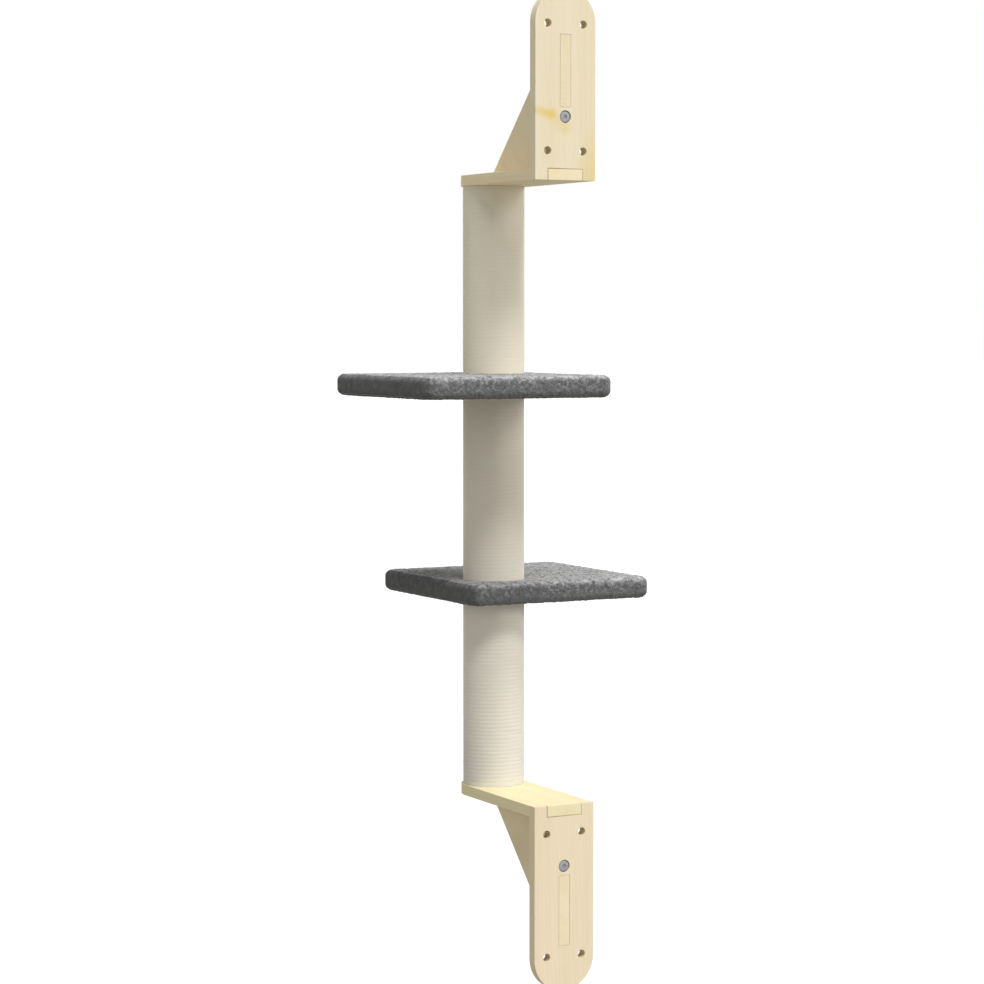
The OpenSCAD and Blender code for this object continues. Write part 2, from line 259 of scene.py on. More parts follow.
def add_floor():
    turns = ((-1, -1), (1, -1), (1, 1), (-1, 1))
    corners = [(x * FLOOR_REACH, y * FLOOR_REACH, FLOOR_HEIGHT) for x, y in turns]
    mesh = bpy.data.meshes.new("floor")
    mesh.from_pydata(corners, [], [(0, 1, 2, 3)])
    mesh.materials.append(floor_finish())
    link(bpy.data.objects.new("floor", mesh))


set_sky()
add_floor()
print("floor:", FLOOR_HEIGHT, "m")

# %% [markdown]
# ## Ten suns
# In the photograph tops are brightest, and each arm and platform throws a shadow down the post, so
# the light comes from high behind the camera. Weaker light from the sides keeps every face
# readable. A lamp near the tree would fade along it. A sun doesn't, and one row of a table says
# all about it: where it stands, how wide it is, which is how far its shadows blur, and how bright
# it is. A few narrow suns side by side act as one long lamp whose shadows still have an edge, and
# the one in front is there for whoever walks round the tree.

# %% The suns
# Azimuth from +X towards +Y, height over the horizon and width, in degrees, and level of each sun
SUNS = (
    ("high", 90, 50, 14, 0.35),
    ("high_left", 60, 50, 14, 0.13),
    ("overhead", 120, 70, 14, 0.39),
    ("overhead_left", 60, 70, 14, 0.18),
    ("low", 90, 10, 14, 0.07),
    ("low_right", 120, 20, 14, 0.15),
    ("right", 150, 10, 20, 0.20),
    ("left", 0, 9, 80, 0.31),
    ("right_back", 210, 7, 34, 0.36),
    ("front", 270, 4, 30, 0.28),
)


def add_sun(name, azimuth, height, width, level):
    """A sun that gives a face turned straight to it this level of light."""
    lamp = bpy.data.lights.new(name, "SUN")
    lamp.energy = level * math.pi
    lamp.angle = math.radians(width)
    sun = link(bpy.data.objects.new(name, lamp))
    turn = math.radians(azimuth) + math.pi / 2
    sun.rotation_euler = away(turn, math.radians(height)).to_track_quat("Z", "Y").to_euler()


for sun_facts in SUNS:
    add_sun(*sun_facts)
bpy.context.scene.view_settings.view_transform = "Standard"
print("suns:", len(SUNS), "of", round(sum(row[-1] for row in SUNS), 2), "in all")

# %% [markdown]
# ## Pine
# A board is a slice of a trunk: rings stand round a heart line that runs along the grain, and each
# ring goes slowly from pale early wood to a thin darker line. A ring is the distance to the heart,
# wavered by a noise that is stretched along the grain, and its fractional part is the tone. The
# same rings then run through faces, edges and end grain alike, as in a real board, which a flat
# picture of grain laid on each face would not do. A knot or a tint of resin is a soft streak
# between two points.

# %% Colours and marks of pine
EARLY_WOOD = (0.850, 0.760, 0.560, 1)
LATE_WOOD = (0.762, 0.632, 0.410, 1)
AMBER = (0.790, 0.600, 0.190, 1)
LOWER_ARM_TINT = (0.990, 1.0, 0.880)
UPPER_ARM_TINT = (1.060, 1.030, 0.945)
GUSSET_TINT = (1.0, 0.980, 0.93)
LOWER_PLATE_TINT = (0.985, 0.955, 0.945)


def stretched(recipe, place, along, across_scale, along_scale):
    """The place with its grain direction drawn out, ready for a noise of scale 1."""
    scales = [across_scale] * 3
    scales[along] = along_scale
    return recipe.vector("MULTIPLY", place, scales)


def streak(recipe, place, start, end, widths):
    """A soft mark along a line that grows stronger to its end, between two widths."""
    line = Vector(end) - Vector(start)
    from_start = recipe.vector("SUBTRACT", place, start)
    share = recipe.vector("DOT_PRODUCT", from_start, line, out=1) / line.length_squared
    share = share.math("MAXIMUM", 0.0).math("MINIMUM", 1.0)
    along = recipe.node("VectorMath", {"operation": "SCALE"}, {0: line, "Scale": share})
    off = recipe.vector("DISTANCE", from_start, along, out=1)
    width = share * (widths[1] - widths[0]) + widths[0]
    return (1.0 - recipe.smooth(off / width, 0.0, 1.0)) * (share * 0.5 + 0.5)


def grey(recipe, value):
    """A number as a grey, ready to multiply a colour."""
    return recipe.node("CombineColor", {}, {0: value, 1: value, 2: value})


# %% [markdown]
# ## Holes and joints
# The walls of a drilled hole are darker, partly for their torn fibres and partly as painted shade
# in the hole, and the open joint round a tenon is a line of painted shade, finer than a mesh should
# carry. Both are distances: to the axis of the nearest hole, and to the outline of the tenon. Where
# the distance is small enough, the colour of the wood is multiplied by a shade.

# %% Bores and joint lines
MM = 0.001
SCREW_SPACING = (50 * MM, 156 * MM)
TENON_WIDTH = 49.2 * MM
# Colours that darken the wood: torn fibres and painted shade in the bores, painted shade in the
# joint
BORE_FIBRES_AND_SHADE = (0.82, 0.82, 0.74, 1)
JOINT_SHADE = (0.68, 0.64, 0.58, 1)
# From and to which distance the shade of a hole and of a joint fades
BORE_FADE = (5.05 * MM, 5.35 * MM)
JOINT_FADE = (0.3 * MM, 1.1 * MM)


def bores(recipe, place, height):
    """Torn fibres and painted shade: 1 on the walls of a plate's four screw holes and bolt's
    counterbore.
    """
    x, _, z = recipe.split(recipe.vector("SUBTRACT", place, (0.0, 0.0, height)))
    a = x.math("ABSOLUTE") - SCREW_SPACING[0] / 2
    b = z.math("ABSOLUTE") - SCREW_SPACING[1] / 2
    off = (a * a + b * b).math("SQRT")
    return 1.0 - recipe.smooth(off, *BORE_FADE)


def joint_line(recipe, place, border, outward):
    """1 along the open joint round an arm's tenon, on the wall side, fainter towards -X: painted
    shade.
    """
    x, y, z = recipe.split(place)
    beside, past = x.math("ABSOLUTE") - TENON_WIDTH / 2, (border - z) * outward
    line = 1.0 - recipe.smooth(beside.math("MAXIMUM", past).math("ABSOLUTE"), *JOINT_FADE)
    # Painted shade: stronger towards +X.
    shade_by_side = recipe.smooth(x, -TENON_WIDTH / 2, TENON_WIDTH / 2) * 0.65 + 0.35
    return line * shade_by_side * recipe.smooth(y, -3 * MM, -2 * MM)


# %% [markdown]
# ## The recipe of a board
# Three layers make bare pine: the rings, broad bands of paler and darker wood, and fine fibres
# with short resin ducts, which are noises drawn out along the grain. The layers that darken the
# wood also raise or sink it a little, so that the light finds the grain too. The rings are made
# fainter where the grain meets the eye end on, as sanded end grain is.

# %% The pine recipe
RING_WIDTH = 4.8 * MM
WAVER_REACH = 20 * MM
RIPPLE_REACH = 1.2 * MM
# How often each layer of the grain repeats in a metre, across it and along it
GRAIN = {
    "waver": (11.0, 2.2),
    "ripple": (60.0, 7.0),
    "bands": (36.0, 1.3),
    "fibres": (900.0, 22.0),
    "ducts": (520.0, 32.0),
}
PLAIN = (1.0, 1.0, 1.0)


def grain_layer(recipe, place, along, layer, detail=2.0):
    """One noise of the grain, drawn out along it."""
    return recipe.noise(stretched(recipe, place, along, *GRAIN[layer]), 1.0, detail)


def pine(name, along, heart, tilt=0.0, marks=(), holes=None, joint=None, tint=PLAIN):
    """Bare pine whose grain runs along an axis, 0, 1 or 2, after a tilt about X, round a heart."""
    recipe = recipe_for(name)
    place = recipe.node("TexCoord", out="Object")
    facing = recipe.node("NewGeometry", out="Normal")
    tilted = {"rotation_type": "X_AXIS"}
    turned = recipe.node("VectorRotate", tilted, {"Vector": place, "Angle": tilt})
    facing = recipe.node("VectorRotate", tilted, {"Vector": facing, "Angle": tilt})
    end_grain = recipe.smooth(recipe.split(facing)[along].math("ABSOLUTE"), 0.5, 0.9)
    waver = grain_layer(recipe, turned, along, "waver") - 0.5
    ripple = grain_layer(recipe, turned, along, "ripple") - 0.5
    parts = recipe.split(recipe.vector("SUBTRACT", turned, heart))
    a, b = [part for axis, part in enumerate(parts) if axis != along]
    distance = (a * a + b * b).math("SQRT") + waver * WAVER_REACH + ripple * RIPPLE_REACH
    ring_share = (distance / RING_WIDTH).math("FRACT")
    late = ring_share**3.0 * (1.0 - recipe.smooth(ring_share, 0.93, 1.0))
    bands = grain_layer(recipe, turned, along, "bands", detail=3.0)
    fibres = grain_layer(recipe, turned, along, "fibres", detail=3.0)
    ducts = grain_layer(recipe, turned, along, "ducts")
    ducts = recipe.smooth(ducts, 0.68, 0.78) * (1.0 - end_grain)
    tone = late * (0.18 - end_grain * 0.06) + recipe.smooth(bands, 0.30, 0.72) * 0.36
    colour = recipe.mix(tone, EARLY_WOOD, LATE_WOOD)
    for start, end, widths, strength in marks:
        colour = recipe.mix(streak(recipe, turned, start, end, widths) * strength, colour, AMBER)
    grain = fibres * 0.10 - ducts * 0.12 + 0.95
    colour = recipe.mix(1.0, colour, grey(recipe, grain), "MULTIPLY")
    colour = recipe.mix(1.0, colour, (*tint, 1), "MULTIPLY")
    if holes is not None:
        colour = recipe.mix(bores(recipe, place, holes), colour, BORE_FIBRES_AND_SHADE, "MULTIPLY")
    if joint is not None:
        colour = recipe.mix(joint_line(recipe, place, *joint), colour, JOINT_SHADE, "MULTIPLY")
    height = late * 0.5 + fibres * 0.6 - ducts * 0.8
    return recipe.surface(
        {
            "Base Color": colour,
            "Roughness": 0.74 - late * 0.10 + fibres * 0.08,
            "Normal": recipe.bump(height, 0.00025, 0.6),
        },
        {"Specular IOR Level": 0.10},
    )


# %% [markdown]
# ## Boards with eased edges
# A sawn board has no knife edge: sandpaper takes off about half a millimetre, and that thin facet
# catches the light and draws each joint. The exact outline is already in the frame, so a copy of
# it is merged to clean faces, and a bevel goes on every sharp edge. A weighted normal keeps the
# big faces flat beside it. Blender can clamp a bevel to the room beside its edges, but then one
# narrow place holds back the whole board. So the clamp stays off, and the two rims of the thin
# land in a countersink, where there is no room, are left out.

# %% Eased copies
SAME_POINT = 1e-6
FLAT_ANGLE = math.radians(1)
SHARP_ANGLE = math.radians(30)
ACROSS_ANGLE = math.radians(45)
NARROW_LAND = 0.21 * MM
EASE = 0.5 * MM


def merged(node):
    """A bmesh of a node of the frame with its triangles joined into whole faces."""
    source = nodes[node].data
    mesh = bpy.data.meshes.new(node)
    faces = [polygon.vertices[:] for polygon in source.polygons]
    mesh.from_pydata([vertex.co[:] for vertex in source.vertices], [], faces)
    bm = bmesh.new()
    bm.from_mesh(mesh)
    bpy.data.meshes.remove(mesh)
    bmesh.ops.remove_doubles(bm, verts=bm.verts, dist=SAME_POINT)
    bmesh.ops.dissolve_limit(bm, angle_limit=FLAT_ANGLE, verts=bm.verts, edges=bm.edges)
    return bm


def finished(name, mesh, material, slot, *replaced):
    """Turns a mesh into a piece of the tree: its shading and finish, and what it stands for."""
    mesh.shade_smooth()
    mesh.set_sharp_from_angle(angle=SHARP_ANGLE)
    mesh.materials.clear()
    mesh.materials.append(material)
    piece = link(bpy.data.objects.new(name, mesh))
    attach(piece, nodes[replaced[0]]["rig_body"])
    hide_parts(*replaced)
    return piece


def has_room(edge):
    """False for an edge beside a land too thin for a bevel."""
    along = edge.verts[0].co - edge.verts[1].co
    for end in edge.verts:
        for other in end.link_edges:
            turn = along.angle(other.verts[0].co - other.verts[1].co)
            if other.calc_length() < NARROW_LAND and min(turn, math.pi - turn) > ACROSS_ANGLE:
                return False
    return True


def eased(node, name, width, material, slot):
    """A copy of a node of the frame with its sharp edges broken."""
    bm = merged(node)
    inner = [edge for edge in bm.edges if len(edge.link_faces) == 2]
    sharp = [edge for edge in inner if edge.calc_face_angle() > SHARP_ANGLE]
    roomy = [edge for edge in sharp if has_room(edge)]
    print(name, len(roomy), "of", len(sharp), "edges eased")
    bmesh.ops.bevel(bm, geom=roomy, offset=width, segments=2, profile=0.5, affect="EDGES")
    mesh = bpy.data.meshes.new(name)
    bm.to_mesh(mesh)
    bm.free()
    piece = finished(name, mesh, material, slot, node)
    piece.modifiers.new("flat faces", "WEIGHTED_NORMAL").keep_sharp = True
    return piece


# %% [markdown]
# ## Six boards
# Each board is sawn from another place, so its heart line lies elsewhere and no two boards repeat.
# The grain of plates and arms runs along them, and that of a gusset along its slanting edge. The
# upper plate has a spike knot that ends beside the bolt. One recipe with a few numbers for each
# board keeps them alike as wood and different as pieces.

# %% The six boards
# The spike knot beside the upper bolt, its faint halo, and the tint at the plate's foot
UPPER_MARKS = (
    ((0.0440, 0.0, 0.9785), (0.0200, 0.0, 0.9735), (0.0080, 0.0105), 1.0),
    ((0.0200, 0.0, 0.9740), (0.0000, 0.0, 0.9560), (0.0170, 0.0130), 0.45),
    ((-0.0430, 0.0, 0.9440), (-0.0400, 0.0, 0.9020), (0.0230, 0.0340), 0.55),
)
TENON_PLAY = 0.1 * MM
# The height where each arm's tenon ends in its plate, and 1 if the plate goes on below it
LOWER_JOINT = (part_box("lower_arm_board")[0].z - TENON_PLAY, 1)
UPPER_JOINT = (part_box("upper_arm_board")[1].z + TENON_PLAY, -1)
# The height of the middle of each plate's screw holes
LOWER_HOLES, UPPER_HOLES = 0.0, 1.007
ALONG_Y, ALONG_Z = 1, 2
gusset_tilt = math.radians(45)
boards = {
    "lower_wall_plate": pine(
        "pine_lower_plate",
        ALONG_Z,
        (-0.070, -0.055, 0.0),
        holes=LOWER_HOLES,
        joint=LOWER_JOINT,
        tint=LOWER_PLATE_TINT,
    ),
    "upper_wall_plate": pine(
        "pine_upper_plate",
        ALONG_Z,
        (0.030, -0.085, 0.9),
        marks=UPPER_MARKS,
        holes=UPPER_HOLES,
        joint=UPPER_JOINT,
    ),
    "lower_arm_board": pine(
        "pine_lower_arm", ALONG_Y, (0.020, 0.0, 0.020), joint=LOWER_JOINT, tint=LOWER_ARM_TINT
    ),
    "upper_arm_board": pine(
        "pine_upper_arm", ALONG_Y, (-0.025, 0.0, 0.820), joint=UPPER_JOINT, tint=UPPER_ARM_TINT
    ),
    "lower_gusset": pine(
        "pine_lower_gusset", ALONG_Z, (0.060, 0.0, 0.0), tilt=gusset_tilt, tint=GUSSET_TINT
    ),
    "upper_gusset": pine(
        "pine_upper_gusset", ALONG_Z, (0.055, 0.0, 0.9), tilt=-gusset_tilt, tint=GUSSET_TINT
    ),
}
for node, material in boards.items():
    board = eased(node, node + "_eased", EASE, material, "pine")
    print(board.name, len(board.data.polygons), "faces")

# %% [markdown]
# ## Winding the rope
# Each length of post wears one long rope, laid in 48 turns that press flat against each other. A
# helix of a round section would leave deep grooves, so the section here is flat outside, with its
# edges drawn in, which leaves only a fine line between two turns. The first and the last turn
# taper to nothing, as a rope does whose ends are pressed under the boards. Three strands twist
# round the rope, so its radius swells and falls along a slanting line. Every point keeps its place
# along and round the rope in an attribute, which the finish needs for its yarns.

# %% Rope measures
def centre_of(node):
    """The middle of the box round a node of the frame."""
    low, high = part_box(node)
    return (low + high) / 2


POST_PLACE = Vector((*centre_of("middle_post_tube").xy, 0.0))
ROPE_INNER = 35.2 * MM
ROPE_OUTER = 40.0 * MM
WINDS = 48
FIRST_TURN, LAST_TURN = 0.04, WINDS + 0.96
STEPS_PER_WIND = 192
STRANDS = 3
LAY_LENGTH = 17.5 * MM
LAY_DEPTH = 0.045
GROOVE_DEPTHS = {"lower": 0.070, "middle": 0.065, "upper": 0.035}
# How long each slow wave in the yarn's thickness is, in metres per radian, and how deep they are
YARN_WAVES = (0.31, 0.117, 0.043)
YARN_WAVE_DEPTH = 0.006
# Where the points of the section lie between its lower and its upper edge, and one at its back
ACROSS = np.array([-1, -0.93, -0.76, -0.42, 0, 0.42, 0.76, 0.93, 1, 0])
AROUND_ROPE = np.radians([-90, -70, -49, -25, 0, 25, 49, 70, 90, 180])
rope_length = 2 * math.pi * ROPE_OUTER * WINDS
print("rope:", WINDS, "turns,", round(rope_length, 1), "m on each length of post")


# %% [markdown]
# ## Tubes from rings of points
# A rope, a bolt and a rod are all tubes: rings of points, one after another, with faces between
# them. A curve with a bevel would make the rope too, but its section can only grow and shrink as a
# whole. Rings in an array can taper, twist and carry a thread, and numpy makes more than a quarter
# million faces in a moment.

# %% Tubes and attributes
def grid_mesh(name, rings):
    """A closed tube through an array of rings, with a face at each end."""
    count, around = rings.shape[:2]
    start = np.arange(count - 1)[:, None] * around
    here, after = np.arange(around), np.roll(np.arange(around), -1)
    corners = [start + here, start + after, start + around + after, start + around + here]
    faces = np.stack(corners, -1).reshape(-1, 4).tolist()
    faces += [here[::-1].tolist(), (here + (count - 1) * around).tolist()]
    mesh = bpy.data.meshes.new(name)
    mesh.from_pydata(rings.reshape(-1, 3).tolist(), [], faces)
    return mesh


def outward(mesh):
    """Turns a closed mesh right side out."""
    count = len(mesh.polygons)
    middle, normal, area = np.empty(count * 3), np.empty(count * 3), np.empty(count)
    for name, values in (("center", middle), ("normal", normal), ("area", area)):
        mesh.polygons.foreach_get(name, values)
    if ((middle * normal).reshape(-1, 3).sum(1) * area).sum() < 0:
        mesh.flip_normals()


def store(mesh, name, values, kind="FLOAT"):
    """Keeps one value for each point of a mesh, where an Attribute node finds it."""
    field = {"FLOAT": "value", "FLOAT_VECTOR": "vector"}[kind]
    flat = np.ravel(values).astype(np.float32)
    mesh.attributes.new(name, kind, "POINT").data.foreach_set(field, flat)


# %% [markdown]
# ## One winding
# All of the rope's points are worked out at once: the turn counts up along the rope, and the
# height follows it. Held between the two ends of the post, the first and the last turn grow thin
# by themselves. Nothing is random but the start of three slow waves, which make the yarn uneven.

# %% One winding
def winding(name, low, high, groove, seed):
    """The rope round one length of post between two heights, with grooves of this share."""
    rise = (high - low) / WINDS
    steps = int((LAST_TURN - FIRST_TURN) * STEPS_PER_WIND)
    turn = np.linspace(FIRST_TURN, LAST_TURN, steps + 1)[:, None]
    top, bottom = np.minimum(high, low + rise * turn), np.maximum(low, low + rise * (turn - 1))
    angle = 2 * math.pi * turn
    middle = (ROPE_INNER + ROPE_OUTER) / 2
    along = angle * middle
    twist = AROUND_ROPE - 2 * math.pi * along / LAY_LENGTH
    strand = 1 - np.abs(np.cos(STRANDS / 2 * twist))
    starts = np.random.default_rng(seed).uniform(0, 6, len(YARN_WAVES))
    uneven = sum(np.sin(along / wave + start) for wave, start in zip(YARN_WAVES, starts))
    crown = 1 - groove * np.abs(ACROSS) ** 5 - LAY_DEPTH * strand + YARN_WAVE_DEPTH * uneven
    crown[:, -1] = -1
    out = middle + crown * (ROPE_OUTER - ROPE_INNER) / 2
    height = (top + bottom) / 2 + ACROSS * (top - bottom) / 2
    place = [out * np.cos(angle) + POST_PLACE.x, out * np.sin(angle) + POST_PLACE.y, height]
    mesh = grid_mesh(name, np.stack(place, -1))
    outward(mesh)
    parts = (along, AROUND_ROPE * rise / 2, np.abs(ACROSS))
    spread = [np.broadcast_to(part, out.shape) for part in parts]
    store(mesh, "rope_place", np.stack(spread, -1), "FLOAT_VECTOR")
    return mesh


# %% [markdown]
# ## A cream rope
# Soft twisted yarn takes light almost evenly. What tells it from plaster is the slant of its
# yarns, a little fuzz and a tone that drifts from strand to strand, all drawn along the rope by
# the attribute rather than by the post's own axes. The foot of each groove and the gaps between
# the yarns are darker, which is painted shade with a little dust. Natural yarn differs a little
# from one reel to the next, so each length of post has its own tint, and the two lower ones are
# greyer at the foot, which is painted shade.

# %% Rope finish
CREAM = (0.860, 0.800, 0.676, 1)
CREAM_LOW = (0.762, 0.698, 0.570, 1)
FOOT_SHADE_GREY = (0.660, 0.650, 0.600, 1)
FOOT_SHADE_REACH = 110 * MM
FOOT_SHADE_SHARES = {"lower": 0.50, "middle": 0.25, "upper": 0.0}
REEL_TINTS = {
    "lower": (0.975, 0.985, 1.020, 1),
    "middle": (1.0, 0.985, 0.985, 1),
    "upper": (1.0, 0.995, 0.960, 1),
}
YARN_WIDTH = 1.15 * MM
YARN_ALONG, YARN_ACROSS = 0.69, 0.72
FUZZ_SCALE = (900.0, 2600.0, 3.0)
DRIFT_SCALE = (46.0, 240.0, 0.0)


def rope_finish(level, foot):
    """Cream yarn in the tint of one reel, with painted shade just above the height of the post's
    foot.
    """
    recipe = recipe_for("cream_rope_" + level)
    place = recipe.node("Attribute", {"attribute_name": "rope_place"}, out=1)
    along, across, edge = recipe.split(place)
    slant = across * YARN_ACROSS - along * YARN_ALONG
    yarn = (slant * (2 * math.pi / YARN_WIDTH)).math("SINE") * 0.5 + 0.5
    fuzz = recipe.noise(recipe.vector("MULTIPLY", place, FUZZ_SCALE), 1.0, detail=3.0)
    drift = recipe.noise(recipe.vector("MULTIPLY", place, DRIFT_SCALE), 1.0)
    # Painted shade with a little dust: darker at the foot of each groove and between the yarns.
    groove = recipe.smooth(edge, 0.72, 1.0)
    tone = groove * 0.12 + (1.0 - yarn) * 0.12 + (fuzz - 0.5) * 0.30 + (drift - 0.5) * 0.4
    bump = recipe.bump(yarn * 0.6 + fuzz * 0.7, 0.00016, 0.7)
    colour = recipe.mix(tone.math("MAXIMUM", 0.0).math("MINIMUM", 1.0), CREAM, CREAM_LOW)
    colour = recipe.mix(1.0, colour, REEL_TINTS[level], "MULTIPLY")
    # Painted shade: the rope turns greyer just above the post's foot, most on the lowest length.
    rise = recipe.split(recipe.node("TexCoord", out="Object"))[2] - foot
    dust_and_foot_shade = (1.0 - recipe.smooth(rise, 0.0, FOOT_SHADE_REACH)) * FOOT_SHADE_SHARES[level]
    return recipe.surface(
        {
            "Base Color": recipe.mix(dust_and_foot_shade, colour, FOOT_SHADE_GREY),
            "Roughness": 0.86 - fuzz * 0.08,
            "Normal": bump,
        },
        {"Specular IOR Level": 0.06},
    )


# %% [markdown]
# ## Three windings
# Each rope takes the place of the plain loops in the frame. It stops just short of what lies above
# and below, so that the ends touch nothing when a platform turns.

# %% The three windings
END_GAP = 0.15 * MM
for seed, (level, groove) in enumerate(GROOVE_DEPTHS.items()):
    low, high = [corner.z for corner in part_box(level + "_post_tube")]
    wound = winding(level + "_post_winding", low + END_GAP, high - END_GAP, groove, seed)
    cream_rope = rope_finish(level, low)
    piece = finished(level + "_post_winding", wound, cream_rope, "rope", level + "_post_rope")
    print(piece.name, len(wound.polygons), "faces")

# %% [markdown]
# ## A slab with round corners
# Each platform is a board in a tight cover of short grey pile. Its form is a slab with round
# corners and round edges, which a distance function describes exactly: how far a point lies
# outside it. The way in which the distance grows fastest is the slope, which points straight out
# of the slab.

# %% The slab
low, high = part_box("lower_platform_cover")
SLAB = high - low
SLAB_CORNER = 14 * MM
SLAB_EDGE = 7 * MM
SLOPE_STEP = 0.05 * MM


def slab_distance(points, inset=0.0):
    """How far points lie outside a slab with round corners and edges, centred on the origin."""
    corner, edge = SLAB_CORNER - inset, SLAB_EDGE - inset
    half = np.array(SLAB) / 2 - inset
    q = np.abs(points[:, :2]) - half[:2] + corner
    plan = np.hypot(*np.maximum(q, 0).T) + np.minimum(q.max(1), 0) - corner
    d = np.stack([plan + edge, np.abs(points[:, 2]) - half[2] + edge], 1)
    return np.hypot(*np.maximum(d, 0).T) + np.minimum(d.max(1), 0) - edge


def slope(points, inset=0.0):
    """The direction straight out of the slab at each point."""
    steps = np.eye(3) * SLOPE_STEP
    parts = [slab_distance(points + s, inset) - slab_distance(points - s, inset) for s in steps]
    out = np.stack(parts, 1)
    return out / np.maximum(np.linalg.norm(out, axis=1, keepdims=True), 1e-9)


print("slab:", " x ".join(str(round(side / MM)) for side in SLAB), "mm")

# %% [markdown]
# ## A grid on the slab
# A fine grid on a box is pulled onto the slab, a few times along the slope and by the distance.
# That gives even, square faces everywhere, which a bevelled box or a remesh doesn't, and the pile
# needs them.

# %% A grid on the slab
PULLS = 4


def box_grid(size, spacing):
    """Points and quads of a box whose six faces carry a grid, as arrays."""
    counts = np.maximum(np.round(np.array(size) / spacing).astype(int), 2)
    quads = []
    for axis, side in itertools.product(range(3), (0, 1)):
        u, v = [other for other in range(3) if other != axis]
        i, j = np.meshgrid(np.arange(counts[u]), np.arange(counts[v]), indexing="ij")
        for di, dj in ((0, 0), (1, 0), (1, 1), (0, 1)):
            spot = np.zeros(i.shape + (3,), int)
            spot[..., axis], spot[..., u], spot[..., v] = side * counts[axis], i + di, j + dj
            quads.append(spot.reshape(-1, 3))
        turn = 1 if (side == 1) == (axis != 1) else -1
        quads[-4:] = [np.stack(quads[-4:][::turn], 1)]
    spots, index = np.unique(np.concatenate(quads).reshape(-1, 3), axis=0, return_inverse=True)
    return (spots / counts - 0.5) * np.array(size), index.reshape(-1, 4)


def slab_surface(inset, spacing):
    """Points and quads on the skin of the slab, or of a smaller one inside it."""
    points, quads = box_grid(np.array(SLAB) - 2 * inset, spacing)
    for _ in range(PULLS):
        points = points - slope(points, inset) * slab_distance(points, inset)[:, None]
    return points, quads


# %% [markdown]
# ## Growing the pile
# The pile stands in tufts of four or five millimetres, so the cover needs real lumps: they break
# the outline and catch the light from one side. The points of a jittered lattice are the tufts,
# and each has a dome of its own height and tone round it. Hair strands would look finer, but they
# are lost when the model is handed on. The pile is pressed flat under the post, and on the two
# sides that lie along the nap it is combed down, so they look smooth and dark.

# %% Tufts and nap
TUFT_SPACING = 4.3 * MM
TUFT_WIDTH = 0.95
TUFT_LOW, TUFT_MORE = 0.45, 0.55
# The lattice draws its jitter and tones from a table, by three large primes
TABLE_SIZE = 4096
TABLE_KEYS = np.array([7919, 104729, 15485863])
# Where the post presses the pile, from its middle, and how far out that fades, in millimetres
PRESSED_REACH, PRESSED_FADE = 40.5, 6
print("tufts:", round(SLAB.x * SLAB.y / TUFT_SPACING**2), "on the top of each cover")


def tufts(points, seed):
    """Height from 0 to 1 and tone from 0 to 1 of the pile at each point."""
    table = np.random.default_rng(seed).random((TABLE_SIZE, 4))
    cell = np.floor(points / TUFT_SPACING).astype(np.int64)
    nearest, tone = np.full(len(points), np.inf), np.zeros(len(points))
    for shift in itertools.product((-1, 0, 1), repeat=3):
        other = cell + shift
        key = (other @ TABLE_KEYS + seed) % TABLE_SIZE
        gap = np.linalg.norm(points / TUFT_SPACING - other - table[key, :3], axis=1)
        closer = gap < nearest
        nearest[closer], tone[closer] = gap[closer], table[key, 3][closer]
    dome = np.sqrt(np.maximum(0, 1 - (nearest / TUFT_WIDTH) ** 2))
    return dome * (TUFT_LOW + TUFT_MORE * tone), tone


def pressed(points, centre):
    """1 where the pile is free and 0 under the post."""
    x = points[:, 0] + centre.x - POST_PLACE.x
    y = points[:, 1] + centre.y - POST_PLACE.y
    share = np.clip((np.hypot(x, y) / MM - PRESSED_REACH) / PRESSED_FADE, 0, 1)
    return share * share * (3 - 2 * share)


def lying(points):
    """1 on the two sides where the nap lies flat and 0 where it stands."""
    sideways, _, up = np.abs(slope(points)).T
    share = np.clip(sideways * (1.6 + 1.2 * up) - 0.5 + 0.4 * up, 0, 1)
    return share * share * (3 - 2 * share)


# %% [markdown]
# ## One cover
# The skin of the slab is raised along its own slope by the pile. A smaller slab inside it, turned
# inside out, is the space of the board, and a boolean cuts the hole for the stud through both.
# After the cut each point measures again how high it stands, and keeps that for the finish.

# %% One cover
COVER_THICKNESS = 3.5 * MM
PILE_GRID = 1.4 * MM
LINING_GRID = 7 * MM
TUFT_HEIGHT = 1.7 * MM
COMBED_SHARE = 0.9
PILE_STAND = 0.3 * MM
STUD_HOLE = 8.6 * MM


